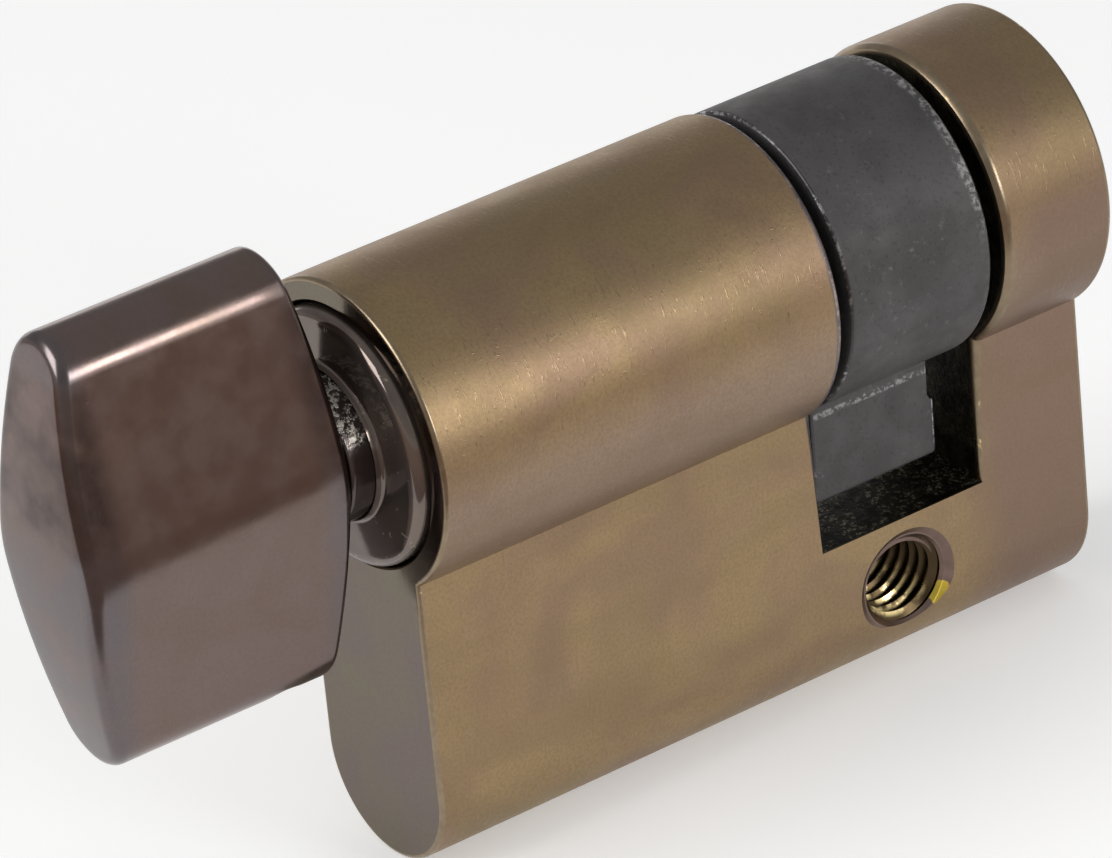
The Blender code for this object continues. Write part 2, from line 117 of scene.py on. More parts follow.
# Camera and table, matched to the photograph
AIM = Vector((-4.8645, -14.6544, -7.7683)) * MM
CAMERA_DISTANCE = 419.155 * MM
CAMERA_AZIMUTH = math.radians(56.03)
CAMERA_ELEVATION = math.radians(28.135)
CAMERA_ROLL = math.radians(-5.72)
LENS = 260.77
TABLE_EDGE = 47.5 * MM              # from the axis to the mirrored edge of the table

ALONG_X = Matrix.Rotation(-math.pi / 2, 4, "Z")
ALONG_Z = Matrix.Rotation(math.pi / 2, 4, "X")
ALONG_SCREW = Matrix.Rotation(KNOB_CLOCKING, 4, "Y") @ Matrix.Translation((0, SCREW_Y, 0)) @ ALONG_Z


# ---- materials

class Nodes:
    """Small builder for one material's node tree."""

    def __init__(self, name):
        self.material = bpy.data.materials.new(name)
        self.material.use_nodes = True
        self.tree = self.material.node_tree
        self.shader = self.tree.nodes["Principled BSDF"]
        self.position = self.add("ShaderNodeTexCoord").outputs["Object"]

    def add(self, kind, inputs=None, **settings):
        made = self.tree.nodes.new(kind)
        for name, value in settings.items():
            setattr(made, name, value)
        for key, value in (inputs or {}).items():
            self.set(made, key, value)
        return made

    def set(self, target, key, value):
        if isinstance(value, bpy.types.NodeSocket):
            self.tree.links.new(value, target.inputs[key])
        else:
            target.inputs[key].default_value = value

    def math(self, operation, first, second=0.0):
        return self.add("ShaderNodeMath", {0: first, 1: second}, operation=operation).outputs[0]

    def times(self, first, second):
        return self.math("MULTIPLY", first, second)

    def plus(self, first, second):
        return self.math("ADD", first, second)

    def distance(self, first, second):
        squares = [self.math("POWER", value, 2.0) for value in (first, second)]
        return self.math("SQRT", self.plus(*squares))

    def noise(self, scale, detail=3.0, roughness=0.55, vector=None, distortion=0.0):
        inputs = {"Vector": vector or self.position, "Scale": scale, "Detail": detail,
                  "Roughness": roughness, "Distortion": distortion}
        return self.add("ShaderNodeTexNoise", inputs).outputs["Fac"]

    def patches(self, low, high, *noise, **more):
        """Noise with soft-edged patches between the two levels."""
        return self.ramp(self.noise(*noise, **more), low, high)

    def streaks(self, scales, detail=2.0, roughness=0.55):
        """Noise with its own scale along each axis."""
        vector = self.add("ShaderNodeVectorMath", {0: self.position, 1: scales}, operation="MULTIPLY")
        return self.noise(1.0, detail, roughness, vector.outputs[0])

    def ramp(self, value, low, high, start=0.0, end=1.0):
        """Map a value from low..high to start..end, clamped and smooth."""
        return self.add("ShaderNodeMapRange", {0: value, 1: low, 2: high, 3: start, 4: end},
                        interpolation_type="SMOOTHSTEP").outputs[0]

    def mix(self, factor, first, second):
        made = self.add("ShaderNodeMix", data_type="RGBA")
        self.set(made, 0, factor)
        self.set(made, 6, first)
        self.set(made, 7, second)
        return made.outputs[2]

    def grain(self, colour, dark, scale=5200, amount=0.3):
        """A colour with a fine dark grain in it."""
        return self.mix(self.ramp(self.noise(scale, 2.0), 0.35, 0.7, 0.0, amount), colour, dark)

    def axes(self):
        parts = self.add("ShaderNodeSeparateXYZ", {0: self.position})
        return parts.outputs[0], parts.outputs[1], parts.outputs[2]

    def bump(self, height, distance, strength):
        inputs = {"Height": height, "Distance": distance, "Strength": strength}
        return self.add("ShaderNodeBump", inputs).outputs[0]

    def finish(self, colour, roughness, normal=None, metallic=1.0, specular=0.5):
        """Feed the shader and hand over the material."""
        self.set(self.shader, "Base Color", colour)
        self.set(self.shader, "Roughness", roughness)
        self.shader.inputs["Metallic"].default_value = metallic
        self.shader.inputs["Specular IOR Level"].default_value = specular
        if normal:
            self.set(self.shader, "Normal", normal)
        return self.material


def rgb(red, green, blue):
    """Linear colour from the 0-255 values a person reads off a colour picker."""
    def linear(value):
        share = value / 255
        return share / 12.92 if share <= 0.04045 else ((share + 0.055) / 1.055) ** 2.4
    return (linear(red), linear(green), linear(blue), 1.0)


def antique_brass():
    """Satin bronze plating: gold, pink and mauve clouds, fine grain, glinting turning marks."""
    m = Nodes("antique_brass_satin")
    _, y, z = m.axes()
    clouds = m.patches(0.38, 0.64, 150, 2.5, distortion=0.6)
    colour = m.mix(clouds, rgb(163, 140, 106), rgb(152, 128, 104))
    greenish = m.patches(0.5, 0.66, 75, 2.0, distortion=0.8)
    colour = m.mix(m.times(greenish, 0.6), colour, rgb(152, 134, 98))
    lower_barrel = m.times(m.ramp(z, -6.6 * MM, -6.2 * MM), m.ramp(z, 1.6 * MM, -1.8 * MM))
    rear = m.plus(m.ramp(y, 1 * MM, 11 * MM), m.times(m.noise(90, 2.0), 0.9))
    mauve = m.times(m.ramp(rear, 0.6, 1.3), m.ramp(z, 4.0 * MM, 0.0, 0.15, 1.0))
    colour = m.mix(m.times(lower_barrel, 0.75), colour, rgb(156, 136, 122))
    colour = m.mix(mauve, colour, rgb(140, 118, 104))
    streaks = m.ramp(m.streaks((260, 60, 260), 3.0), 0.4, 0.68)
    colour = m.mix(m.times(streaks, 0.3), colour, rgb(132, 112, 84))
    colour = m.grain(colour, rgb(130, 108, 86), amount=0.35)
    ragged = m.plus(y, m.times(m.noise(700, 2.0), 0.2 * MM))
    rim = m.times(m.ramp(ragged, -SLOT_HALF_WIDTH - 0.38 * MM, -SLOT_HALF_WIDTH - 0.28 * MM),
                  m.ramp(y, 0.0, -SLOT_HALF_WIDTH + MM))
    side = m.times(m.ramp(z, -8.5 * MM, -7.0 * MM), m.ramp(z, 7.0 * MM, 5.0 * MM))
    colour = m.mix(m.times(rim, m.times(side, 0.85)), colour, rgb(114, 107, 110))
    marks = m.ramp(m.streaks((1100, 5600, 1100), 2.0, 0.6), 0.6, 0.72)
    spots = m.patches(0.66, 0.74, 3000, 2.0)
    glints = m.math("MAXIMUM", marks, spots)
    height = m.plus(glints, m.times(m.noise(8000, 1.0), 0.4))
    roughness = m.math("SUBTRACT", m.ramp(m.noise(420, 3.0), 0.3, 0.7, 0.42, 0.48),
                       m.times(glints, 0.14))
    return m.finish(colour, roughness, m.bump(height, 0.008 * MM, 0.8))


def worn_edge():
    """Softened rims of the body: lighter plating with tiny bare specks."""
    m = Nodes("antique_brass_edge")
    wear = m.patches(0.66, 0.72, 650, 3.0, 0.6)
    base = m.mix(m.patches(0.4, 0.65, 1500, 2.0), rgb(140, 124, 102), rgb(150, 134, 112))
    colour = m.mix(wear, base, rgb(236, 214, 158))
    height = m.noise(2600, 2.0)
    return m.finish(colour, m.ramp(wear, 0.0, 1.0, 0.3, 0.2), m.bump(height, 0.008 * MM, 0.6))


def gritty_edge():
    """Milled-off rear rim of the front half: a rough grey-violet band."""
    m = Nodes("antique_brass_gritty_edge")
    speck = m.patches(0.5, 0.64, 2400, 3.0, 0.7)
    base = m.mix(m.patches(0.4, 0.62, 900, 2.0), rgb(112, 104, 106), rgb(134, 122, 118))
    colour = m.mix(m.times(speck, 0.7), base, rgb(176, 164, 152))
    height = m.noise(3000, 2.0)
    return m.finish(colour, m.ramp(speck, 0.0, 1.0, 0.42, 0.3), m.bump(height, 0.015 * MM, 0.8))


def countersink_finish():
    """Screw hole mouth: mauve plating, one bare yellow patch and a bright scrape low on the rim."""
    m = Nodes("countersink_plated")

    def near(centre, radius):
        offset = m.add("ShaderNodeVectorMath", {0: m.position, 1: centre}, operation="DISTANCE")
        ragged = m.plus(offset.outputs["Value"], m.times(m.noise(1500, 2.0), 0.5 * MM))
        return m.ramp(ragged, radius + 0.32 * MM, radius + 0.2 * MM)

    clouds = m.patches(0.35, 0.65, 700, 2.0)
    colour = m.mix(clouds, rgb(132, 112, 104), rgb(118, 100, 90))
    bare = m.math("MAXIMUM", near((4.8 * MM, 2.15 * MM, -20.55 * MM), 0.62 * MM),
                  near((-4.8 * MM, -1.2 * MM, -21.2 * MM), 0.5 * MM))
    scrape = near((5.0 * MM, 0.5 * MM, -21.95 * MM), 0.45 * MM)
    colour = m.mix(bare, colour, rgb(226, 200, 84))
    colour = m.mix(scrape, colour, rgb(214, 200, 176))
    rings = m.streaks((6000, 400, 400))
    roughness = m.ramp(m.math("MAXIMUM", bare, scrape), 0.0, 1.0, 0.34, 0.24)
    return m.finish(colour, roughness, m.bump(rings, 0.01 * MM, 0.6))


def end_face():
    """Polished end faces: greyer and glossier than the sides, with faint lapping marks."""
    m = Nodes("antique_brass_end_face")
    clouds = m.patches(0.38, 0.64, 170, 2.5, distortion=0.5)
    colour = m.mix(clouds, rgb(112, 103, 88), rgb(111, 98, 93))
    colour = m.grain(colour, rgb(94, 85, 76))
    height = m.streaks((2600, 300, 900))
    return m.finish(colour, m.ramp(m.noise(420), 0.3, 0.7, 0.09, 0.16), m.bump(height, 0.003 * MM, 0.5))


def slot_painted_shade():
    """Walls and floor of the cam slot: dark olive milled surfaces pushed to near black as painted shade
    of the recess, with pale grit specks mostly on the floor.
    """
    m = Nodes("slot_milled_painted_shade")
    z = m.axes()[2]
    floor = m.ramp(z, SLOT_FLOOR_Z + 0.5 * MM, SLOT_FLOOR_Z + 0.1 * MM)
    speck = m.patches(0.52, 0.62, 3600, 3.0, 0.8)
    patches = m.patches(0.36, 0.6, 700, 3.0, 0.6)
    # near-black base: painted shade of the slot's recess over its dark olive milled tone
    colour = m.mix(patches, rgb(26, 22, 14), rgb(60, 54, 40))
    lit = m.times(m.times(speck, patches), m.ramp(floor, 0.0, 1.0, 0.12, 1.0))
    colour = m.mix(lit, colour, rgb(176, 172, 150))
    height = m.noise(2400, 3.0, 0.7)
    return m.finish(colour, m.ramp(height, 0.3, 0.7, 0.4, 0.6), m.bump(height, 0.05 * MM, 0.9))


def bore_dark():
    """Bores and hidden insides: dark brown, with turning rings."""
    m = Nodes("bore_dark_turned")
    rings = m.streaks((60, 6000, 60), 1.0)
    colour = m.mix(m.ramp(rings, 0.35, 0.65), rgb(56, 46, 28), rgb(88, 72, 44))
    return m.finish(colour, m.ramp(rings, 0.3, 0.7, 0.28, 0.42), m.bump(rings, 0.015 * MM, 0.6), 0.85)


def thread_painted_glints():
    """Tapped thread: dark colour as painted shade inside the hole, with pale brass on the lower crests
    as painted glints.
    """
    m = Nodes("thread_painted_glints_and_shade")
    _, y, z = m.axes()
    below = m.math("SUBTRACT", z, FIXING_HOLE_Z)
    radius = m.distance(y, below)
    crest = m.ramp(radius, THREAD_RADIUS - 0.12 * MM, THREAD_CORE_RADIUS + 0.02 * MM)
    # the lower side of the hole, where the light falls: only there do the crests get painted glints
    low = m.ramp(m.plus(below, m.times(y, 0.6)), 0.6 * MM, -1.2 * MM)
    patches = m.times(m.patches(0.38, 0.56, 800, 3.0), low)
    # pale brass on the lower crests: painted glints; the dark elsewhere: painted shade
    bare = m.mix(m.times(crest, patches), rgb(74, 62, 44), rgb(226, 204, 148))
    return m.finish(bare, m.ramp(patches, 0.0, 1.0, 0.3, 0.18), m.bump(m.noise(3000), 0.015 * MM, 0.5))


def dark_bronze():
    """Polished dark bronze of the knob: brown faces, violet towards the ends, darker on the upper flank
    near the ends as a painted dark reflection, pricks and fine lines.
    """
    m = Nodes("dark_bronze_polished")
    _, y, z = m.axes()
    clouds = m.patches(0.36, 0.66, 120, 3.0, distortion=0.8)
    colour = m.mix(clouds, rgb(121, 105, 101), rgb(117, 101, 93))
    ends = m.math("MAXIMUM", m.ramp(y, KNOB_FRONT_Y + 3.2 * MM, KNOB_FRONT_Y + 1.6 * MM),
                  m.ramp(y, KNOB_REAR_Y - 2.6 * MM, KNOB_REAR_Y - 0.8 * MM))
    ragged = m.times(ends, m.patches(0.25, 0.6, 260, 3.0))
    # upper flank: its darker colour near the ends is a painted dark reflection
    upper = m.times(m.ramp(z, 0.8 * MM, 2.2 * MM), m.ramp(z, 10.2 * MM, 9.2 * MM))
    colour = m.mix(ragged, colour, m.mix(upper, rgb(110, 103, 104), rgb(80, 70, 68)))
    colour = m.grain(colour, rgb(102, 90, 86), 6000)
    lines = m.streaks((1500, 1500, 5200))
    pricks = m.patches(0.74, 0.8, 3400, 1.0)
    height = m.math("SUBTRACT", m.times(lines, 0.5), pricks)
    roughness = m.ramp(m.noise(500, 3.0), 0.3, 0.7, 0.17, 0.24)
    return m.finish(colour, roughness, m.bump(height, 0.004 * MM, 0.6))


def collar_bronze():
    """Mirror-polished dark plating of the collar, with a few dull specks."""
    m = Nodes("collar_dark_polished")
    clouds = m.patches(0.35, 0.65, 400, 2.0)
    speck = m.patches(0.66, 0.74, 2600, 2.0, 0.7)
    colour = m.mix(clouds, rgb(118, 106, 98), rgb(106, 96, 92))
    colour = m.mix(m.times(speck, 0.6), colour, rgb(176, 164, 142))
    roughness = m.ramp(speck, 0.0, 1.0, 0.1, 0.3)
    return m.finish(colour, roughness, m.bump(m.noise(900, 2.0), 0.004 * MM, 0.5), 0.82)


def plated_neck():
    """Dark plated neck: polished, with a crust of bright specks along its upper side."""
    m = Nodes("neck_dark_plated")
    z = m.axes()[2]
    upper = m.ramp(m.plus(z, m.times(m.noise(500, 2.0), 2.0 * MM)), 2.2 * MM, 3.2 * MM)
    speck = m.times(m.patches(0.46, 0.6, 2300, 3.0, 0.75), upper)
    clouds = m.patches(0.35, 0.65, 300, 2.0)
    colour = m.mix(clouds, rgb(88, 80, 78), rgb(80, 73, 71))
    colour = m.mix(speck, colour, rgb(196, 190, 180))
    roughness = m.ramp(speck, 0.0, 1.0, 0.12, 0.38)
    return m.finish(colour, roughness, m.bump(speck, 0.03 * MM, 0.8), 0.92)


def turned_steel(name="turned_steel", base=(188, 186, 182), mark=(120, 118, 112)):
    """Bright turned metal with cutting rings and speckle."""
    m = Nodes(name)
    rings = m.streaks((300, 7000, 300))
    speck = m.patches(0.48, 0.66, 2200, 3.0, 0.7)
    colour = m.mix(speck, rgb(*base), rgb(*mark))
    height = m.plus(m.times(rings, 0.5), speck)
    return m.finish(colour, m.ramp(speck, 0.0, 1.0, 0.16, 0.36), m.bump(height, 0.012 * MM, 0.6))


def bright_brass():
    """Bare turned brass of the pins and plugs."""
    return turned_steel("turned_brass", (222, 186, 112), (176, 140, 76))


def black_steel():
    """Blackened sintered steel of the cam: charcoal clouds, pores and rubbed specks."""
    m = Nodes("black_sintered_steel")
    clouds = m.patches(0.36, 0.62, 220, 4.0)
    colour = m.mix(clouds, rgb(84, 82, 82), rgb(72, 70, 70))
    rubbed = m.patches(0.57, 0.7, 1700, 5.0, 0.8)
    zone = m.patches(0.42, 0.6, 160, 2.0)
    colour = m.mix(m.times(rubbed, m.times(zone, 0.45)), colour, rgb(136, 134, 136))
    pores = m.patches(0.56, 0.68, 5200, 2.0)
    colour = m.mix(m.times(pores, 0.35), colour, rgb(44, 43, 44))
    height = m.math("SUBTRACT", m.times(m.noise(2600, 3.0), 0.6), pores)
    x, y, z = m.axes()
    from_rim = m.plus(y, m.times(m.noise(500, 2.0), 0.7 * MM))
    outer = m.distance(x, z)
    band = m.times(m.ramp(from_rim, CAM_REAR_Y - 0.5 * MM, CAM_REAR_Y - 0.1 * MM),
                   m.ramp(outer, CAM_RADIUS - 0.6 * MM, CAM_RADIUS - 0.4 * MM))
    band = m.times(band, m.ramp(z, 0.5 * MM, 3.0 * MM, 0.1, 1.0))
    lever_top = m.times(m.ramp(z, -7.9 * MM, -7.75 * MM), m.ramp(z, -7.4 * MM, -7.55 * MM))
    lever_side = m.ramp(m.math("ABSOLUTE", x), 3.8 * MM, 4.0 * MM)
    band = m.math("MAXIMUM", band, m.times(lever_top, lever_side))
    worn = m.times(band, m.patches(0.44, 0.6, 2600, 3.0, 0.75))
    colour = m.mix(m.times(worn, 0.8), colour, rgb(160, 158, 158))
    roughness = m.ramp(m.noise(900), 0.3, 0.7, 0.5, 0.58)
    return m.finish(colour, roughness, m.bump(height, 0.006 * MM, 0.7), 0.5)


def rubbed_black_edge():
    """Edges of the cam, rubbed back to grey steel in a broken, speckled line."""
    m = Nodes("black_steel_rubbed_edge")
    patch = m.patches(0.44, 0.6, 240, 2.0)
    rubbed = m.times(m.patches(0.46, 0.58, 2200, 4.0, 0.75), patch)
    colour = m.mix(rubbed, rgb(76, 74, 75), rgb(176, 174, 176))
    height = m.noise(3200, 3.0)
    return m.finish(colour, m.ramp(rubbed, 0.0, 1.0, 0.4, 0.28), m.bump(height, 0.012 * MM, 0.8))


def spring_steel():
    """Drawn wire and stamped washers."""
    m = Nodes("spring_steel_drawn")
    lines = m.streaks((2000, 2000, 2000))
    colour = m.mix(m.ramp(lines, 0.35, 0.65), rgb(150, 150, 154), rgb(112, 112, 118))
    return m.finish(colour, m.ramp(lines, 0.3, 0.7, 0.22, 0.36), m.bump(lines, 0.006 * MM, 0.5))


def seal_rubber():
    """Matt black rubber with a moulded skin."""
    m = Nodes("seal_rubber_matt")
    skin = m.noise(2600, 3.0)
    colour = m.mix(m.ramp(skin, 0.3, 0.7), rgb(26, 26, 27), rgb(40, 40, 42))
    return m.finish(colour, m.ramp(skin, 0.3, 0.7, 0.55, 0.75), m.bump(skin, 0.01 * MM, 0.6), 0.0)


def floor_white():
    """Pale seamless floor with a barely visible tone."""
    m = Nodes("floor_pale")
    cloud = m.noise(6, 2.0)
    colour = m.mix(m.ramp(cloud, 0.3, 0.7), (0.86, 0.86, 0.86, 1), (0.84, 0.84, 0.84, 1))
    m.shader.inputs["Emission Color"].default_value = (1, 1, 1, 1)
    m.shader.inputs["Emission Strength"].default_value = 0.3
    return m.finish(colour, m.ramp(cloud, 0.3, 0.7, 0.7, 0.8), metallic=0.0, specular=0.2)


# ---- mesh helpers

def new_object(name, bm, finish):
    """Object from a bmesh, with one material."""
    mesh = bpy.data.meshes.new(name)
    bm.to_mesh(mesh)
    bm.free()
    made = bpy.data.objects.new(name, mesh)
    bpy.context.scene.collection.objects.link(made)
    mesh.materials.append(finish)
    return made


def smooth(target, degrees=28.0):
    """Smooth shading with crisp edges where faces meet at more than the given angle."""
    target.data.shade_smooth()
    target.data.set_sharp_from_angle(angle=math.radians(degrees))
    weighted = target.modifiers.new("flat_faces_stay_flat", "WEIGHTED_NORMAL")
    weighted.keep_sharp = True
    weighted.weight = 80


def apply_modifiers(target):
    """Replace the object's mesh by what its modifiers make of it."""
    graph = bpy.context.evaluated_depsgraph_get()
    made = bpy.data.meshes.new_from_object(target.evaluated_get(graph))
    target.modifiers.clear()
    target.data = made


def combine(target, tool, operation="DIFFERENCE"):
    """Boolean a tool into the target, keep the tool's material on the new faces, drop the tool."""
    modifier = target.modifiers.new("boolean", "BOOLEAN")
    modifier.operation = operation
    modifier.solver = "EXACT"
    modifier.material_mode = "TRANSFER"
    modifier.object = tool
    apply_modifiers(target)
    bpy.data.objects.remove(tool)


def rounded_path(points, segments=4):
    """Points (a, b, radius) to a path (a, b) whose corners are rounded by the given radii."""
    path = []
    last = len(points) - 1
    for index, (a, b, radius) in enumerate(points):
        corner = Vector((a, b))
        if index in (0, last) or radius <= 0:
            path.append(corner)
            continue
        before = Vector(points[index - 1][:2]) - corner
        after = Vector(points[index + 1][:2]) - corner
        half = before.angle(after) / 2
        reach = min(radius / math.tan(half), before.length * 0.49, after.length * 0.49)
        start = corner + before.normalized() * reach
        end = corner + after.normalized() * reach
        for step in range(segments + 1):
            share = step / segments
            path.append(start * (1 - share) ** 2 + corner * 2 * share * (1 - share) + end * share ** 2)
    return [(point.x, point.y) for point in path]


def lathe_mesh(profile, steps, closed, matrix=None):
    """Spin a (y, radius) profile about Y. A closed profile is a ring; an open one ends on the axis."""
    bm = bmesh.new()
    verts = [bm.verts.new((radius, y, 0)) for y, radius in profile]
    following = verts[1:] + (verts[:1] if closed else [])
    edges = [bm.edges.new(pair) for pair in zip(verts, following)]
    bmesh.ops.spin(bm, geom=verts + edges, axis=(0, 1, 0), cent=(0, 0, 0),
                   angle=math.tau, steps=steps, use_merge=True)
    bmesh.ops.remove_doubles(bm, verts=bm.verts, dist=1e-7)
    bmesh.ops.recalc_face_normals(bm, faces=bm.faces)
    if matrix:
        bmesh.ops.transform(bm, matrix=matrix, verts=bm.verts)
    return bm


def lathe(name, points, finish, steps=128, closed=False, matrix=None, segments=4):
    """Turned piece from (y, radius, rounding) points. A solid one is closed at both ends."""
    if closed:
        first = points[0]
        second = points[1]
        middle = ((first[0] + second[0]) / 2, (first[1] + second[1]) / 2, 0)
        path = rounded_path([middle] + points[1:] + [first, middle], segments)[:-1]
    else:
        front, rear = [[(y, 0, 0)] * (radius > 0) for y, radius, _ in (points[0], points[-1])]
        path = rounded_path(front + points + rear, segments)
    return new_object(name, lathe_mesh(path, steps, closed, matrix), finish)


def prism(name, outline, start, end, finish):
    """Extrude an (x, z) outline along Y."""
    bm = bmesh.new()
    face = bm.faces.new([bm.verts.new((x, start, z)) for x, z in outline])
    moved = bmesh.ops.extrude_face_region(bm, geom=[face])["geom"]
    bmesh.ops.translate(bm, vec=(0, end - start, 0),
                        verts=[item for item in moved if isinstance(item, bmesh.types.BMVert)])
    bmesh.ops.recalc_face_normals(bm, faces=bm.faces)
    return new_object(name, bm, finish)


def block(half_width, low_z, high_z):
    """Rectangular (x, z) outline."""
    return [(-half_width, low_z), (half_width, low_z), (half_width, high_z), (-half_width, high_z)]


def arc(centre_z, radius, start_degrees, end_degrees, count):
    """Points (x, z) along an arc about (0, centre_z)."""
    points = []
    for step in range(count + 1):
        angle = math.radians(start_degrees + (end_degrees - start_degrees) * step / count)
        points.append((radius * math.cos(angle), centre_z + radius * math.sin(angle)))
    return points


def round_edges(target, chosen, width, material_index=0):
    """Bevel the sharp edges of a mesh that a test on the edge's middle point picks."""
    sharp = math.radians(50)
    bm = bmesh.new()
    bm.from_mesh(target.data)
    bmesh.ops.recalc_face_normals(bm, faces=bm.faces)
    edges = []
    for edge in bm.edges:
        middle = (edge.verts[0].co + edge.verts[1].co) / 2
        if len(edge.link_faces) == 2 and edge.calc_face_angle() > sharp and chosen(middle):
            edges.append(edge)
    bmesh.ops.bevel(bm, geom=edges, offset=width, offset_type="OFFSET", segments=3,
                    profile=0.5, affect="EDGES", material=material_index, clamp_overlap=True,
                    miter_outer="ARC")
    bm.to_mesh(target.data)
    bm.free()


def place(piece, body, slot, *nodes):
    """Hand a finished piece to its body in place of the CAD nodes it stands for; the slot argument is
    not used.
    """
    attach(piece, body)
    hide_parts(*nodes)
    return piece


# ---- the body

def body_outline():
    junction = math.degrees(math.acos(LEG_HALF_WIDTH / BARREL_RADIUS))
    foot = arc(LEG_BOTTOM_Z + LEG_HALF_WIDTH, LEG_HALF_WIDTH, 180, 360, 48)
    return foot + arc(0, BARREL_RADIUS, -junction, 180 + junction, 150)


def thread_cutter(finish):
    """The tapped hole as a solid: a right-hand thread along X, closed by a fan at each end."""
    around = 48
    reach = 7.2 * MM
    shape = [(0.0, THREAD_CORE_RADIUS), (0.14, THREAD_CORE_RADIUS),     # (share of the pitch, radius)
             (0.46, THREAD_RADIUS), (0.68, THREAD_RADIUS)]
    rows_per_turn = len(shape)
    turns = round(2 * reach / THREAD_PITCH)
    levels = [(-reach + (turn + share) * THREAD_PITCH, radius)
              for turn in range(turns) for share, radius in shape]
    last = len(levels) - 1
    bm = bmesh.new()
    grid = []
    for column in range(around):
        angle = math.tau * column / around
        lift = THREAD_PITCH * column / around
        grid.append([bm.verts.new((along + lift, radius * math.cos(angle), radius * math.sin(angle)))
                     for along, radius in levels])
    for column in range(around):
        after = (column + 1) % around
        shift = 0 if after else rows_per_turn
        for row in range(last - shift):
            bm.faces.new((grid[column][row], grid[after][row + shift],
                          grid[after][row + 1 + shift], grid[column][row + 1]))
    low_rim = [grid[column][0] for column in range(around)]
    low_rim += [grid[0][row] for row in range(rows_per_turn, 0, -1)]
    high_rim = [grid[0][last]] + [grid[column][last] for column in range(1, around)]
    high_rim += [grid[around - 1][row] for row in range(last - 1, last - rows_per_turn - 1, -1)]
    for rim in (low_rim, high_rim):
        middle = bm.verts.new((rim[0].co.x, 0, 0))
        for first, second in zip(rim, rim[1:] + rim[:1]):
            bm.faces.new((first, second, middle))
    bmesh.ops.recalc_face_normals(bm, faces=bm.faces)
    bmesh.ops.translate(bm, vec=(0, 0, FIXING_HOLE_Z), verts=bm.verts)
    return new_object("cutter_thread", bm, finish)


def turned_cutter(points, finish, matrix=None, steps=128, segments=4):
    return lathe("cutter", points, finish, steps, matrix=matrix, segments=segments)


def make_body(finishes):
    satin, edge, black, bore, thread, end, mouth_finish, gritty = finishes
    body = prism("cylinder_body", body_outline(), FRONT_Y, REAR_Y, satin)
    body.data.materials.append(end)
    for face in body.data.polygons:
        if abs(face.normal.y) > 0.9:
            face.material_index = 1
    past = 1.0 * MM
    slot = block(BARREL_RADIUS + past, SLOT_FLOOR_Z, BARREL_RADIUS + past)
    # the slot cutter's near-black finish, painted shade of the recess, passes to the slot's walls and
    # floor
    combine(body, prism("cutter", slot, -SLOT_HALF_WIDTH, SLOT_HALF_WIDTH, black))
    body.data.materials.append(edge)
    edge_index = len(body.data.materials) - 1
    body.data.materials.append(gritty)
    near = 0.01 * MM

    def end_rim(y):
        return lambda point: abs(point.y - y) < near

    def slot_rim(y):
        return lambda point: abs(point.y - y) < near and (
            abs(point.x) > LEG_HALF_WIDTH - near or point.z > SLOT_FLOOR_Z + near)

    def floor_side(point):
        return (abs(point.z - SLOT_FLOOR_Z) < near and abs(point.y) < SLOT_HALF_WIDTH - near
                and abs(point.x) > LEG_HALF_WIDTH - near)

    for chosen, width, index in ((end_rim(FRONT_Y), 0.24, edge_index),
                                 (end_rim(REAR_Y), 0.3, edge_index),
                                 (slot_rim(-SLOT_HALF_WIDTH), 0.36, edge_index + 1),
                                 (slot_rim(SLOT_HALF_WIDTH), 0.5, edge_index),
                                 (floor_side, 0.22, edge_index)):
        round_edges(body, chosen, width * MM, index)

    mouth = COUNTERBORE_RADIUS + 0.1 * MM
    combine(body, turned_cutter([
        (FRONT_Y - past, mouth + past, 0), (FRONT_Y, mouth, 0),
        (FRONT_Y + 0.1 * MM, COUNTERBORE_RADIUS, 0.05 * MM),
        (COUNTERBORE_FLOOR_Y, COUNTERBORE_RADIUS, 0.1 * MM),
        (COUNTERBORE_FLOOR_Y, SPINDLE_BORE_RADIUS, 0.1 * MM),
        (-SLOT_HALF_WIDTH - 0.3 * MM, SPINDLE_BORE_RADIUS, 0.1 * MM),
        (-SLOT_HALF_WIDTH + past, SPINDLE_BORE_RADIUS + 1.3 * MM, 0)], bore))
    combine(body, turned_cutter([
        (SLOT_HALF_WIDTH - past, REAR_BORE_RADIUS + 1.2 * MM, 0),
        (SLOT_HALF_WIDTH + 0.2 * MM, REAR_BORE_RADIUS, 0.1 * MM),
        (REAR_Y - 0.3 * MM, REAR_BORE_RADIUS, 0.1 * MM),
        (REAR_Y + past, REAR_BORE_RADIUS + 1.3 * MM, 0)], bore))
    for y in CHAMBER_YS.values():
        turn = Matrix.Translation((0, y, 0)) @ ALONG_Z
        combine(body, turned_cutter([
            (LEG_BOTTOM_Z - past, CHAMBER_RADIUS, 0), (-NECK_RADIUS, CHAMBER_RADIUS, 0)],
            bore, turn, 64))
    combine(body, thread_cutter(thread))
    face = LEG_HALF_WIDTH
    for side in (math.pi, 0.0):
        turn = Matrix.Translation((0, 0, FIXING_HOLE_Z)) @ Matrix.Rotation(side, 4, "Z") @ ALONG_X
        combine(body, turned_cutter([
            (face + 0.8 * MM, COUNTERSINK_RADIUS + 1.3 * MM, 0),
            (face, COUNTERSINK_RADIUS, 0.25 * MM), (face - 0.3 * MM, 2.72 * MM, 0.06 * MM),
            (face - 0.3 * MM, 2.64 * MM, 0.03 * MM), (face - 0.72 * MM, 2.3 * MM, 0.05 * MM),
            (face - 0.95 * MM, 0.0, 0)], mouth_finish, turn, 96))
    smooth(body, 30)
    return place(body, "housing", "antique_brass", "body")


# ---- the knob

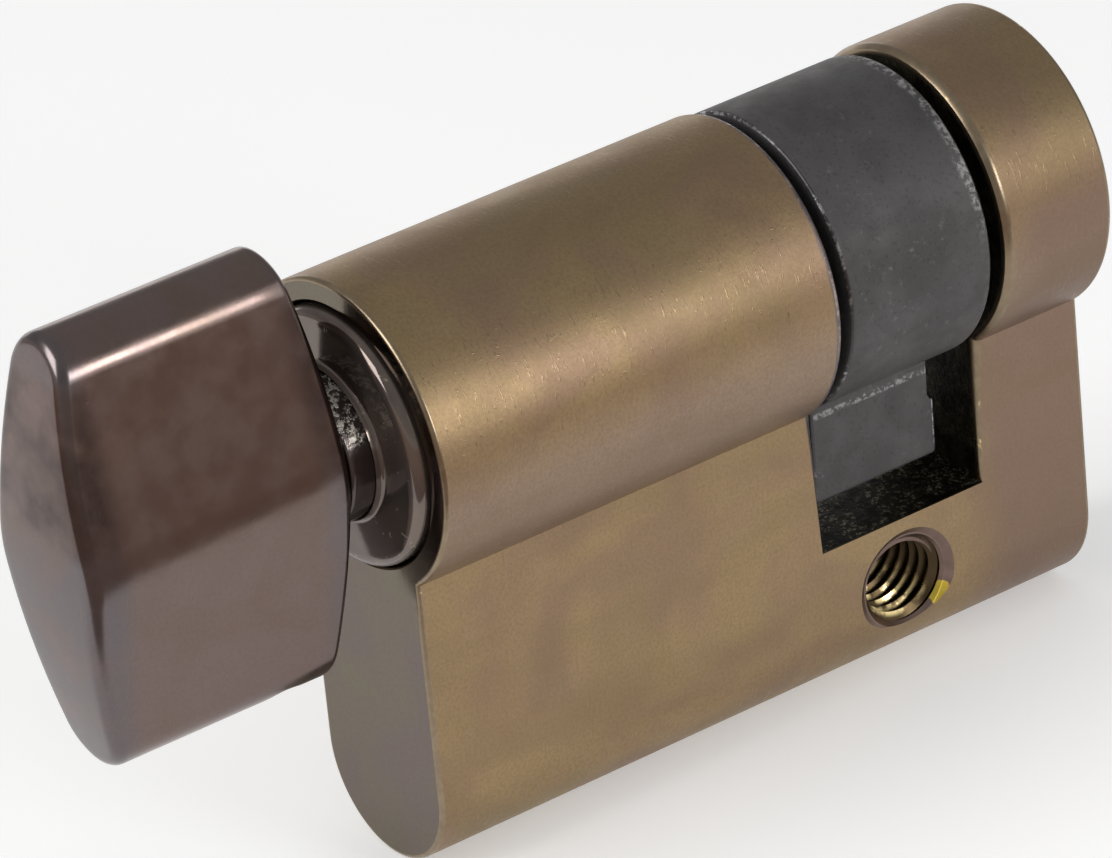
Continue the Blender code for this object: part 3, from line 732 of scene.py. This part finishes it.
def knob_outline():
    """Round ends, flat flanks and a softly rounded middle, as (point, outward normal) pairs."""
    end_centre = KNOB_HALF_HEIGHT - KNOB_END_RADIUS
    middle_centre = KNOB_MIDDLE_HALF_WIDTH - KNOB_MIDDLE_RADIUS
    spread = math.hypot(end_centre, middle_centre)
    tilt = math.asin((KNOB_MIDDLE_RADIUS - KNOB_END_RADIUS) / spread)
    lean = tilt - math.atan2(-middle_centre, end_centre)
    arcs = [(Vector((middle_centre, 0)), KNOB_MIDDLE_RADIUS, -lean, lean, 12),
            (Vector((0, end_centre)), KNOB_END_RADIUS, lean, math.pi - lean, 30)]
    half = []
    for centre, radius, start, end, steps in arcs:
        for step in range(steps + 1):
            angle = start + (end - start) * step / steps
            normal = Vector((math.cos(angle), math.sin(angle)))
            half.append((centre + normal * radius, normal))
    corners = half + [(-point, -normal) for point, normal in half]
    outline = []
    for index, (point, normal) in enumerate(corners):
        outline.append((point, normal))
        following, _ = corners[(index + 1) % len(corners)]
        steps = round((following - point).length / (0.8 * MM))
        outline += [(point.lerp(following, step / steps), normal) for step in range(1, steps)]
    return outline


def knob_end_rows(outline, rounding, dome, face_y, sign):
    """Rows of points from the side wall over the rounded edge to the spine of one domed end."""
    columns = []
    fillet_steps = 7
    inner_steps = 9
    spine = KNOB_HALF_HEIGHT - KNOB_END_RADIUS
    for point, normal in outline:
        slope = math.atan(2 * dome * max(0.0, point.dot(normal)))
        turn = math.pi / 2 - slope
        inset_end = point - normal * rounding * (1 - math.cos(turn))
        end_y = face_y + sign * dome * inset_end.length_squared
        centre_y = end_y + sign * rounding * math.sin(turn)
        column = []
        for step in range(fillet_steps + 1):
            angle = turn * step / fillet_steps
            spot = point - normal * rounding * (1 - math.cos(angle))
            column.append(Vector((spot.x, centre_y - sign * rounding * math.sin(angle), spot.y)))
        target = Vector((0, max(-spine, min(spine, inset_end.y))))
        for step in range(1, inner_steps + 1):
            spot = inset_end.lerp(target, step / inner_steps)
            column.append(Vector((spot.x, face_y + sign * dome * spot.length_squared, spot.y)))
        columns.append(column)
    return columns


def make_knob(finish, bore):
    outline = knob_outline()
    front = knob_end_rows(outline, KNOB_FRONT_ROUNDING, KNOB_FRONT_DOME, KNOB_FRONT_Y, 1)
    rear = knob_end_rows(outline, KNOB_REAR_ROUNDING, KNOB_REAR_DOME, KNOB_REAR_Y, -1)
    wall_steps = 8
    bm = bmesh.new()
    grid = []
    for front_column, rear_column in zip(front, rear):
        start, end = front_column[0], rear_column[0]
        wall = [start.lerp(end, step / wall_steps) for step in range(1, wall_steps)]
        grid.append([bm.verts.new(spot) for spot in front_column[::-1] + wall + rear_column])
    count = len(grid)
    for index in range(count):
        here, there = grid[index], grid[(index + 1) % count]
        for row in range(len(here) - 1):
            bm.faces.new((here[row], here[row + 1], there[row + 1], there[row]))
    bmesh.ops.remove_doubles(bm, verts=bm.verts, dist=2e-6)
    bmesh.ops.dissolve_degenerate(bm, edges=bm.edges, dist=1e-7)
    bmesh.ops.recalc_face_normals(bm, faces=bm.faces)
    bmesh.ops.rotate(bm, verts=bm.verts, matrix=Matrix.Rotation(KNOB_CLOCKING, 3, "Y"))
    knob = new_object("turn_knob_bar", bm, finish)

    past = 1.0 * MM
    socket_radius = 3.5 * MM
    socket_end = -45.0 * MM
    combine(knob, turned_cutter([
        (socket_end, socket_radius, 0.2 * MM), (KNOB_REAR_Y - 0.35 * MM, socket_radius, 0.1 * MM),
        (KNOB_REAR_Y + past, socket_radius + 1.35 * MM, 0)], bore, steps=96))
    hole = SCREW_RADIUS + 0.25 * MM
    hole_end = -socket_radius + 0.4 * MM        # inside the socket
    combine(knob, turned_cutter([
        (-KNOB_HALF_HEIGHT - past, hole + 1.2 * MM, 0),
        (-KNOB_HALF_HEIGHT + 0.2 * MM, hole, 0.1 * MM), (hole_end, hole, 0)], bore, ALONG_SCREW, 64))
    smooth(knob, 24)
    return place(knob, "thumb_turn", "dark_bronze", "turn_knob")


def make_grub_screw(finish):
    """Cup-point grub screw with a thread and a hexagon socket."""
    length = 7.3 * MM
    bottom = -KNOB_HALF_HEIGHT + 1.1 * MM
    top = bottom + length
    pitch = 0.5 * MM
    socket = 0.86 * MM
    core = SCREW_RADIUS - 0.28 * MM
    points = [(bottom, core - 0.1 * MM, 0)]
    grooves = int((length - 0.8 * MM) / pitch)
    for groove in range(grooves):
        start = bottom + 0.35 * MM + groove * pitch
        points += [(start, core, 0), (start + 0.2 * MM, SCREW_RADIUS, 0.03 * MM),
                   (start + 0.28 * MM, SCREW_RADIUS, 0.03 * MM)]
    points += [(top - 0.45 * MM, core, 0), (top, core - 0.5 * MM, 0.05 * MM),
               (top, 0.7 * MM, 0.05 * MM), (top - 0.4 * MM, 0, 0)]
    screw = lathe("grub_screw_cup_point", points, finish, 48, matrix=ALONG_SCREW, segments=2)
    combine(screw, turned_cutter([
        (bottom - 0.5 * MM, socket, 0), (bottom + 1.8 * MM, socket, 0), (bottom + 2.3 * MM, 0, 0)],
        finish, ALONG_SCREW, 6))
    smooth(screw, 25)
    return place(screw, "thumb_turn", "black_steel", "knob_grub_screw")


# ---- spindle, collar and washers

def make_spindle(finish, plated):
    """Grooved spindle whose tongue drives the cam; the neck shows between knob and collar."""
    plug, tenon, tail, clip_floor = 5.3 * MM, 3.2 * MM, 4.6 * MM, 3.8 * MM      # radii
    tail_y, end_y = -5.6 * MM, -3.8 * MM
    front = SPINDLE_LOW.y
    neck_front = KNOB_REAR_Y - 0.15 * MM
    shoulder = COUNTERBORE_FLOOR_Y + 0.1 * MM
    soft = 0.12 * MM
    points = [(front, tenon, 0.3 * MM), (neck_front, tenon, 0.1 * MM),
              (neck_front, NECK_RADIUS, 0.2 * MM), (shoulder, NECK_RADIUS, 0.2 * MM),
              (shoulder, plug, soft)]
    grooves = [(-24.9 * MM, 0.8 * MM, 4.0 * MM)] + [(y, 1.9 * MM, 4.2 * MM) for y in CHAMBER_YS.values()]
    for y, half_width, radius in grooves:
        points += [(y - half_width, plug, soft), (y - half_width, radius, soft),
                   (y + half_width, radius, soft), (y + half_width, plug, soft)]
    clip_front, clip_rear = CLIP_LOW.y - 0.15 * MM, CLIP_HIGH.y + 0.15 * MM
    points += [(tail_y, plug, soft), (tail_y, tail, soft), (clip_front, tail, 0.05 * MM),
               (clip_front, clip_floor, soft), (clip_rear, clip_floor, soft),
               (clip_rear, tail, 0.05 * MM), (end_y, tail, 0.06 * MM)]
    spindle = lathe("turn_spindle_grooved", points, finish, 128)
    tongue = prism("shape", block(3.2 * MM, -1.3 * MM, 1.3 * MM), -4.3 * MM, SPINDLE_HIGH.y, finish)
    round_edges(tongue, lambda point: point.y > -4.0 * MM, 0.18 * MM)
    combine(spindle, tongue, "UNION")
    spindle.data.materials.append(plated)
    for face in spindle.data.polygons:
        if neck_front - 0.05 * MM < face.center.y < shoulder:
            face.material_index = len(spindle.data.materials) - 1
    smooth(spindle, 30)
    return place(spindle, "thumb_turn", "plain_steel", "turn_spindle")


def make_collar(finish):
    """Round-shouldered collar with a small lip that hugs the neck."""
    bore = NECK_RADIUS + 0.05 * MM
    lip = COLLAR_LOW.y
    face = lip + 0.45 * MM
    ring = [(lip, bore, 0.0), (lip, bore + 0.05 * MM, 0.0), (face, bore + 0.12 * MM, 0.42 * MM),
            (face, COLLAR_RADIUS, 0.8 * MM), (COLLAR_HIGH.y, COLLAR_RADIUS, 0.1 * MM),
            (COLLAR_HIGH.y, bore, 0.1 * MM)]
    collar = lathe("collar_ring_round_shouldered", ring, finish, 160, closed=True, segments=12)
    smooth(collar, 40)
    return place(collar, "thumb_turn", "collar_bronze", "collar_ring")


def flat_ring(front, rear, inner, outer, rounding):
    """Closed (y, radius, rounding) section of a flat ring."""
    return [(y, radius, rounding) for y, radius in
            ((front, inner), (front, outer), (rear, outer), (rear, inner))]


def ring_piece(name, node, inner, finish, body, slot):
    """Flat ring or washer that fills the box of its CAD node, with softened edges."""
    low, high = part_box(node)
    ring = flat_ring(low.y, high.y, inner, high.x, 0.06 * MM)
    made = lathe(name, ring, finish, 96, closed=True, segments=3)
    smooth(made, 30)
    return place(made, body, slot, node)


def make_o_ring(finish):
    low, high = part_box("friction_o_ring")
    wire = (high.y - low.y) / 2
    centre_y = (low.y + high.y) / 2
    around = 20
    section = [(centre_y + wire * math.sin(math.tau * side / around),
                high.x - wire + wire * math.cos(math.tau * side / around)) for side in range(around)]
    ring = new_object("friction_seal_ring", lathe_mesh(section, 96, True), finish)
    smooth(ring, 60)
    return place(ring, "thumb_turn", "seal_rubber", "friction_o_ring")


def make_clip(finish):
    """Snap ring with an open mouth at its top."""
    outer = CLIP_HIGH.x
    ring = flat_ring(CLIP_LOW.y, CLIP_HIGH.y, 4.05 * MM, outer, 0.1 * MM)
    clip = lathe("spindle_snap_ring", ring, finish, 96, closed=True, segments=3)
    mouth = block(2.6 * MM, 0, outer + MM)
    combine(clip, prism("cutter", mouth, CLIP_LOW.y - MM, CLIP_HIGH.y + MM, finish))
    smooth(clip, 30)
    return place(clip, "thumb_turn", "spring_steel", "spindle_clip")


# ---- the cam and what drives it

def make_cam(finish, edge):
    """Cam ring with its lever; the rims and the lever's edges are rubbed bright."""
    recess_y = CAM_FRONT_Y + 1.1 * MM
    ring = [(CAM_FRONT_Y, CAM_RECESS_RADIUS, 0.1 * MM), (CAM_FRONT_Y, CAM_RADIUS, 0.28 * MM),
            (CAM_REAR_Y, CAM_RADIUS, 0.35 * MM), (CAM_REAR_Y, CAM_BORE_RADIUS, 0.15 * MM),
            (recess_y, CAM_BORE_RADIUS, 0.1 * MM), (recess_y, CAM_RECESS_RADIUS, 0.1 * MM)]
    cam = lathe("cam_ring_with_lever", ring, finish, 160, closed=True)
    tip_half_width = 4.05 * MM
    half_angle = math.degrees(math.asin(tip_half_width / LEVER_TIP_RADIUS))
    root_z = -CAM_RECESS_RADIUS - 0.1 * MM
    tip = arc(0, LEVER_TIP_RADIUS, 270 - half_angle, 270 + half_angle, 24)
    lever = prism("shape", tip + [(LEVER_HALF_THICKNESS, root_z), (-LEVER_HALF_THICKNESS, root_z)],
                  LEVER_FRONT_Y, LEVER_REAR_Y, finish)
    notch = block(LEVER_HALF_THICKNESS + MM, LEVER_NOTCH_Z, root_z + MM)
    combine(lever, prism("cutter", notch, LEVER_NOTCH_Y, LEVER_REAR_Y + MM, finish))
    lever.data.materials.append(edge)
    round_edges(lever, lambda point: point.z < -CAM_RADIUS, 0.3 * MM)
    combine(cam, lever, "UNION")
    half_key = 1.2 * MM
    key_top = 6.1 * MM
    combine(cam, prism("cutter", block(half_key, 0, key_top), CAM_FRONT_Y - MM, CAM_REAR_Y + MM, finish))
    materials = [slot.material for slot in cam.material_slots]
    rubbed = materials.index(edge)
    for face in cam.data.polygons:
        middle = face.center
        rim = math.hypot(middle.x, middle.z) > CAM_RADIUS - 0.26 * MM and abs(face.normal.y) > 0.15
        if rim and abs(face.normal.y) < 0.97:
            face.material_index = rubbed
    smooth(cam, 32)
    return place(cam, "thumb_turn", "black_steel", "cam")


def make_dog(finish):
    """Drive dog keyed to the cam, slotted for the spindle's tongue and bored for the rear pilot."""
    low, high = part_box("cam_drive_dog")
    radius = high.x
    pilot_bore = 2.6 * MM
    soft = 0.15 * MM
    dog = lathe("cam_drive_dog_keyed", [(low.y, radius, soft), (high.y, radius, soft)], finish, 96)
    key = prism("shape", block(0.9 * MM, radius - MM, high.z), low.y, high.y, finish)
    round_edges(key, lambda point: point.z > radius, 0.12 * MM)
    combine(dog, key, "UNION")
    tongue_slot = block(3.5 * MM, -1.6 * MM, 1.6 * MM)
    combine(dog, prism("cutter", tongue_slot, low.y - MM, SPINDLE_HIGH.y + 0.3 * MM, finish))
    combine(dog, turned_cutter([
        (PILOT_LOW.y - 0.3 * MM, pilot_bore, 0.1 * MM), (high.y - 0.2 * MM, pilot_bore, 0.1 * MM),
        (high.y + MM, 3.7 * MM, 0)], finish, steps=96))
    smooth(dog, 30)
    return place(dog, "thumb_turn", "plain_steel", "cam_drive_dog")


def make_rear(steel, satin):
    """Pilot that steadies the cam and the disc that closes the bore behind it."""
    stem = 2.3 * MM
    flange_front = 6.0 * MM
    soft = 0.15 * MM
    pilot = lathe("rear_pilot_flanged", [
        (PILOT_LOW.y, stem, 0.3 * MM), (flange_front, stem, soft),
        (flange_front, PILOT_HIGH.x, soft), (PILOT_HIGH.y, PILOT_HIGH.x, soft)], steel, 112)
    smooth(pilot, 30)
    place(pilot, "housing", "plain_steel", "rear_pilot")
    low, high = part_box("rear_blanking_disc")
    rim = high.x
    disc = lathe("rear_blanking_disc_dished", [
        (low.y, rim, 0.1 * MM), (high.y, rim, 0.25 * MM), (high.y, rim - 0.7 * MM, 0.1 * MM),
        (high.y - 0.12 * MM, rim - 1.0 * MM, 0.2 * MM), (high.y - 0.2 * MM, 0, 0)], satin, 112)
    smooth(disc, 30)
    place(disc, "housing", "antique_brass", "rear_blanking_disc")


# ---- pins, springs and plugs in the leg

def make_coil(name, node, y, finish):
    """Compression spring that the pin above it presses down."""
    low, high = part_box(node)
    wire = 0.2 * MM
    coil = (high.x - low.x) / 2 - wire
    turns, per_turn, sides = 8, 28, 12
    height = high.z - low.z - 2 * wire
    total = turns * per_turn
    bm = bmesh.new()
    rings = []
    for step in range(total + 1):
        angle = math.tau * step / per_turn
        centre_z = low.z + wire + height * step / total
        ring = []
        for side in range(sides):
            turn = math.tau * side / sides
            radius = coil + wire * math.cos(turn)
            ring.append(bm.verts.new((radius * math.cos(angle), y + radius * math.sin(angle),
                                      centre_z + wire * math.sin(turn))))
        rings.append(ring)
    for lower, upper in zip(rings, rings[1:]):
        for side in range(sides):
            after = (side + 1) % sides
            bm.faces.new((lower[side], lower[after], upper[after], upper[side]))
    bm.faces.new(rings[0])
    bm.faces.new(rings[-1])
    bmesh.ops.recalc_face_normals(bm, faces=bm.faces)
    spring = new_object(name, bm, finish)
    smooth(spring, 50)
    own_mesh(spring)
    return place(spring, "housing", "spring_steel", node)


def make_pins(brass, steel):
    for end, y in CHAMBER_YS.items():
        turn = Matrix.Translation((0, y, 0)) @ ALONG_Z
        low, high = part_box("retaining_pin_" + end)
        radius = high.x
        waist = radius - 0.12 * MM
        pin = lathe("retaining_pin_%s_turned" % end, [
            (low.z, radius, 0.3 * MM), (low.z + 1.6 * MM, radius, 0.1 * MM),
            (low.z + 1.8 * MM, waist, 0.1 * MM), (high.z - 1.9 * MM, waist, 0.1 * MM),
            (high.z - 1.7 * MM, radius, 0.1 * MM), (high.z - 0.35 * MM, radius, 0.15 * MM),
            (high.z, radius - 0.4 * MM, 0.2 * MM)], brass, 72, matrix=turn)
        smooth(pin, 30)
        place(pin, end + "_pin", "bright_brass", "retaining_pin_" + end)
        make_coil("pin_spring_%s_coil" % end, "pin_spring_" + end, y, steel)
        low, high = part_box("chamber_plug_" + end)
        plug = lathe("chamber_plug_%s_pressed" % end, [
            (low.z + 0.25 * MM, 0, 0), (low.z, 0.6 * MM, 0.15 * MM), (low.z, high.x, 0.2 * MM),
            (high.z, high.x, 0.15 * MM)], brass, 72, matrix=turn)
        smooth(plug, 30)
        place(plug, "housing", "bright_brass", "chamber_plug_" + end)


# ---- camera, floor and light

def make_camera():
    level_right = Vector((math.cos(CAMERA_AZIMUTH), math.sin(CAMERA_AZIMUTH), 0))
    back = Vector((math.sin(CAMERA_AZIMUTH) * math.cos(CAMERA_ELEVATION),
                   -math.cos(CAMERA_AZIMUTH) * math.cos(CAMERA_ELEVATION), math.sin(CAMERA_ELEVATION)))
    level_up = back.cross(level_right)
    right = level_right * math.cos(CAMERA_ROLL) + level_up * math.sin(CAMERA_ROLL)
    up = back.cross(right)
    data = bpy.data.cameras.new("camera")
    data.lens = LENS
    data.sensor_width = 36.0
    data.clip_start = 0.01
    data.clip_end = 10.0
    camera = bpy.data.objects.new("camera", data)
    pose = Matrix((right, up, back)).transposed().to_4x4()
    pose.translation = AIM + back * CAMERA_DISTANCE
    camera.matrix_world = pose
    bpy.context.scene.collection.objects.link(camera)
    bpy.context.scene.camera = camera


def flat_sheet(name, corners, level, finish):
    bm = bmesh.new()
    bm.faces.new([bm.verts.new((x, y, level)) for x, y in corners])
    made = new_object(name, bm, finish)
    return made


def make_floor():
    """Pale floor, and the near edge of the table top that the metal mirrors."""
    finish = floor_white()
    reach = 2.5
    level = LEG_BOTTOM_Z - 0.03 * MM
    floor = flat_sheet("studio_floor", block(reach, -reach, reach), level, finish)
    floor.visible_glossy = False
    towards = Vector((math.sin(CAMERA_AZIMUTH), -math.cos(CAMERA_AZIMUTH)))
    along = Vector((-towards.y, towards.x))
    near = towards * TABLE_EDGE
    far = towards * -0.6
    side = along * 0.6
    corners = [near - side, near + side, far + side, far - side]
    table = flat_sheet("studio_table", [tuple(corner) for corner in corners], level + 0.01 * MM, finish)
    table.visible_camera = False
    table.visible_diffuse = False
    table.visible_shadow = False


def softbox(name, direction, distance, width, height, radiance):
    """Rectangular light in the given direction from the object, unseen by the camera."""
    data = bpy.data.lights.new(name, "AREA")
    data.shape = "RECTANGLE"
    data.size = width
    data.size_y = height
    data.energy = radiance * math.pi * width * height
    light = bpy.data.objects.new(name, data)
    towards = Vector(direction).normalized()
    light.location = AIM + towards * distance
    light.rotation_euler = towards.to_track_quat("Z", "Y").to_euler()
    light.visible_camera = False
    bpy.context.scene.collection.objects.link(light)


def make_world():
    """Dim room: brown below the table, grey walls, darker ceiling."""
    world = bpy.data.worlds.new("studio")
    bpy.context.scene.world = world
    world.use_nodes = True
    tree = world.node_tree
    coordinates = tree.nodes.new("ShaderNodeTexCoord")
    split = tree.nodes.new("ShaderNodeSeparateXYZ")
    tree.links.new(coordinates.outputs["Generated"], split.inputs[0])
    height = tree.nodes.new("ShaderNodeMapRange")
    height.inputs["From Min"].default_value = -1.0
    tree.links.new(split.outputs[2], height.inputs["Value"])
    ramp = tree.nodes.new("ShaderNodeValToRGB")
    stops = [(0.0, (0.26, 0.19, 0.16)), (0.49, (0.42, 0.32, 0.28)), (0.52, (0.55, 0.53, 0.51)),
             (0.6, (0.37, 0.37, 0.37)), (0.72, (0.33, 0.33, 0.33)), (0.85, (0.42, 0.42, 0.42)),
             (1.0, (0.42, 0.42, 0.42))]
    elements = ramp.color_ramp.elements
    while len(elements) < len(stops):
        elements.new(0.5)
    for element, (position, colour) in zip(elements, stops):
        element.position = position
        element.color = (*colour, 1)
    tree.links.new(height.outputs["Result"], ramp.inputs[0])
    tree.links.new(ramp.outputs[0], tree.nodes["Background"].inputs["Color"])


def make_lights():
    make_world()
    softbox("key_softbox", (0.809, 0.49, 0.314), 0.42, 0.42, 0.2, 0.8)
    softbox("key_lamp", (0.905, 0.22, 0.365), 0.2, 0.06, 0.042, 9.0)
    softbox("back_softbox", (-0.83, 0.5, 0.08), 0.6, 0.8, 0.16, 0.9)
    softbox("front_softbox", (-0.15, -0.85, 0.6), 0.5, 0.3, 0.3, 5.0)


def main():
    make_camera()
    make_floor()
    make_lights()

    satin, edge, bore = antique_brass(), worn_edge(), bore_dark()
    steel, spring, brass = turned_steel(), spring_steel(), bright_brass()
    blackened = black_steel()
    make_body((satin, edge, slot_painted_shade(), bore, thread_painted_glints(), end_face(), countersink_finish(),
               gritty_edge()))
    make_knob(dark_bronze(), bore)
    make_grub_screw(blackened)
    make_spindle(steel, plated_neck())
    make_collar(collar_bronze())
    ring_piece("thrust_washer_flat", "thrust_washer", NECK_RADIUS + 0.3 * MM, spring, "housing",
               "spring_steel")
    make_o_ring(seal_rubber())
    make_clip(spring)
    make_cam(blackened, rubbed_black_edge())
    ring_piece("cam_shim_flat", "cam_shim", 4.9 * MM, spring, "thumb_turn", "spring_steel")
    ring_piece("cam_washer_flat", "cam_washer", 2.6 * MM, spring, "housing", "spring_steel")
    make_dog(turned_steel("dog_steel", (160, 158, 152), (110, 108, 102)))
    make_rear(steel, satin)
    make_pins(brass, spring)


main()

bpy.context.scene.view_settings.view_transform = "Standard"
